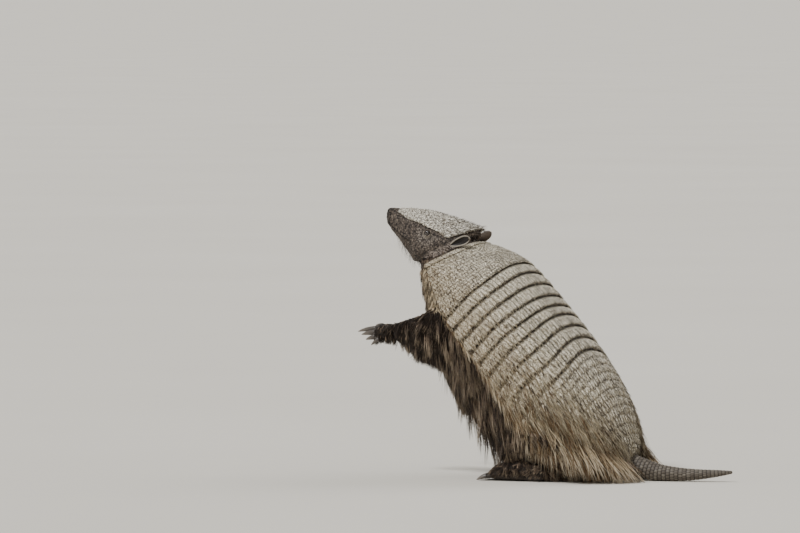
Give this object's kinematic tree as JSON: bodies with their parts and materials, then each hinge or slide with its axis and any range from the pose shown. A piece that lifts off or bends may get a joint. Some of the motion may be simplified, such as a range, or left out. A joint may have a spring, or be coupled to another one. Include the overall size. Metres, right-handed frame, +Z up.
{
  "type": "armadillo model",
  "caption": "Life-size still model of a hairy armadillo reared up on its hind feet, forepaws held forward and tail laid behind, with banded armour over its back.",
  "frame": {"origin": "on the floor, in the middle of the part's extents, between the hind feet", "axes": "+Z up; the animal faces -X, its tail lies towards +X, and its left side is -Y"},
  "size_m": [0.4096, 0.1612, 0.2809],
  "materials": {
    "armour": "dry horny scutes, grey-buff with dark seams",
    "head_armour": "dry horny scutes, pale grey-buff",
    "fur": "coarse dark brown hair",
    "face_skin": "dark grey-brown grained skin",
    "paw_skin": "dark grained skin",
    "claw_horn": "worn satin horn",
    "ear_skin": "thin grained skin",
    "tail_scales": "rings of small grey scales",
    "eye_black": "wet black"
  },
  "bodies": {
    "root": {"band_1": "armour", "band_2": "armour", "band_3": "armour", "band_4": "armour", "band_5": "armour", "band_6": "armour", "band_7": "armour", "band_8": "armour", "claw_fore_left_1": "claw_horn", "claw_fore_left_2": "claw_horn", "claw_fore_left_3": "claw_horn", "claw_fore_left_4": "claw_horn", "claw_fore_left_5": "claw_horn", "claw_fore_right_1": "claw_horn", "claw_fore_right_2": "claw_horn", "claw_fore_right_3": "claw_horn", "claw_fore_right_4": "claw_horn", "claw_fore_right_5": "claw_horn", "claw_hind_left_1": "claw_horn", "claw_hind_left_2": "claw_horn", "claw_hind_left_3": "claw_horn", "claw_hind_left_4": "claw_horn", "claw_hind_left_5": "claw_horn", "claw_hind_right_1": "claw_horn", "claw_hind_right_2": "claw_horn", "claw_hind_right_3": "claw_horn", "claw_hind_right_4": "claw_horn", "claw_hind_right_5": "claw_horn", "ear_left": "ear_skin", "ear_right": "ear_skin", "eye_left": "eye_black", "eye_right": "eye_black", "foreleg_left": "fur", "foreleg_right": "fur", "forepaw_left": "paw_skin", "forepaw_right": "paw_skin", "head": "face_skin", "head_shield": "head_armour", "hindfoot_left": "paw_skin", "hindfoot_right": "paw_skin", "hindleg_left": "fur", "hindleg_right": "fur", "nape_band": "armour", "neck": "fur", "pelvic_shield": "armour", "shoulder_shield": "armour", "tail": "tail_scales", "trunk": "fur"}
  },
  "joints": []
}
